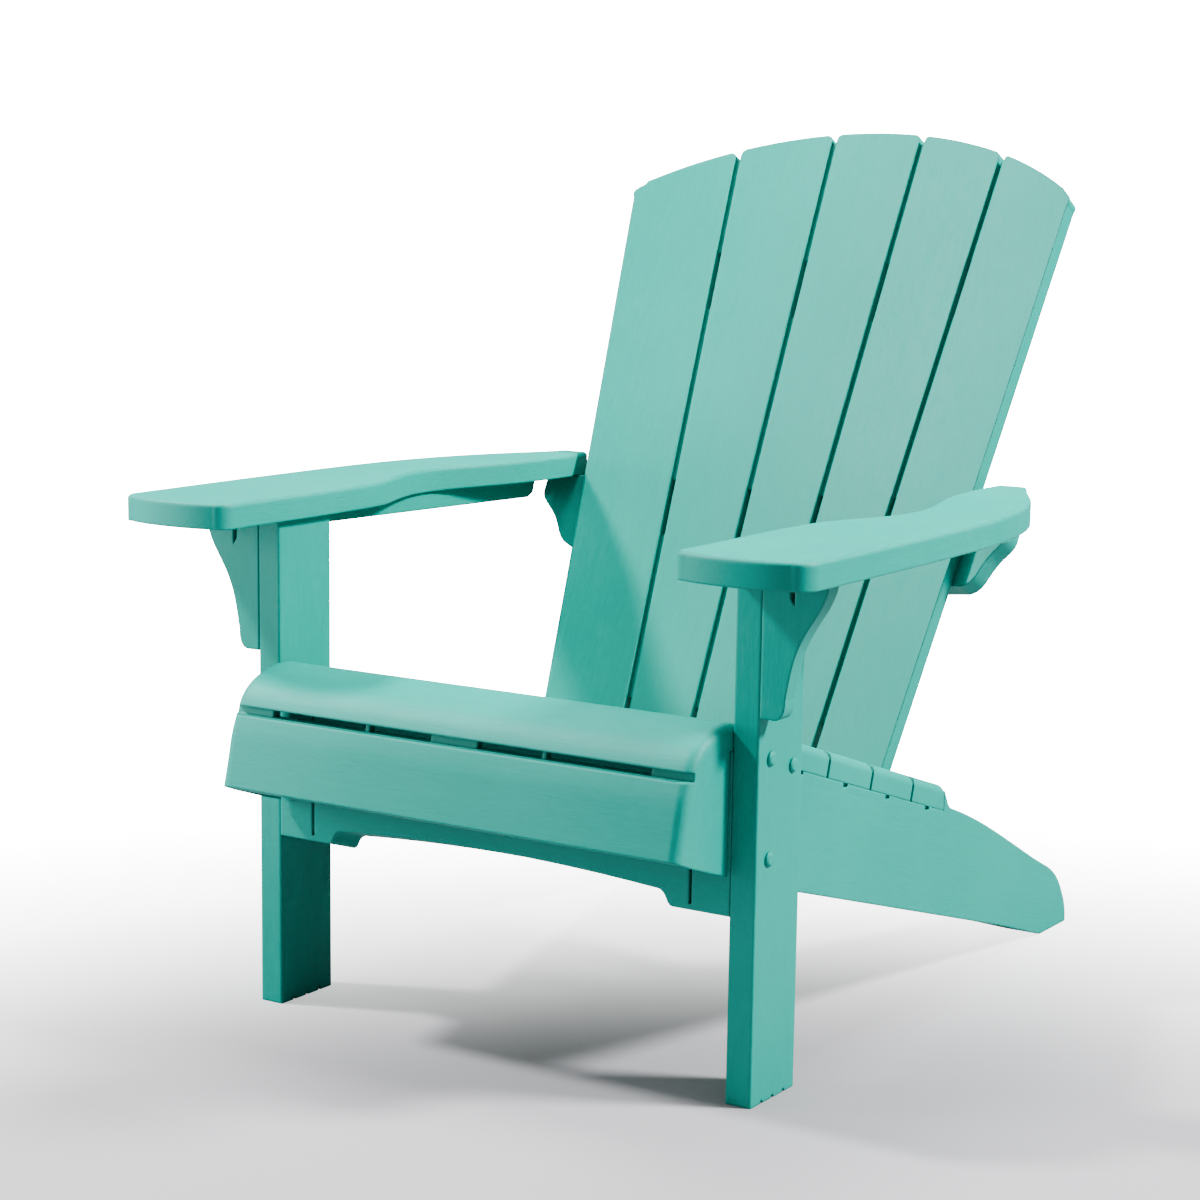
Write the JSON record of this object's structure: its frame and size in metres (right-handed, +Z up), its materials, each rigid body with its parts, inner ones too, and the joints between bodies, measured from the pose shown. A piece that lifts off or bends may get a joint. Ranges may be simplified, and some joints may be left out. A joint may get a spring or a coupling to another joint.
{
  "type": "adirondack chair",
  "caption": "Low outdoor lounge chair in moulded resin: fanned curved backrest, sloping seat with rolled front edge, wide flat arms on bracketed legs.",
  "frame": {"origin": "floor level under the middle of the chair's overall box", "axes": "+Z up, the chair faces -Y, +X is the sitter's left"},
  "size_m": [0.8372, 0.9515, 0.9628],
  "materials": {
    "resin": "matt moulded resin with fine lengthwise grain",
    "bolt_caps": "colour-matched bolt heads, matt",
    "steel": "zinc-plated"
  },
  "bodies": {
    "root": {"backrest": "resin", "seat": "resin", "stringer_left": "resin", "stringer_right": "resin", "front_leg_left": "resin", "front_leg_right": "resin", "arm_left": "resin", "arm_right": "resin", "corbel_left": "resin", "corbel_right": "resin", "rear_beam": "resin", "lower_crossbar": "resin", "front_stretcher": "resin", "leg_bolts_left": "bolt_caps", "leg_bolts_right": "bolt_caps", "leg_nuts_left": "steel", "leg_nuts_right": "steel", "beam_screws": "steel", "crossbar_screws": "steel"}
  },
  "joints": []
}
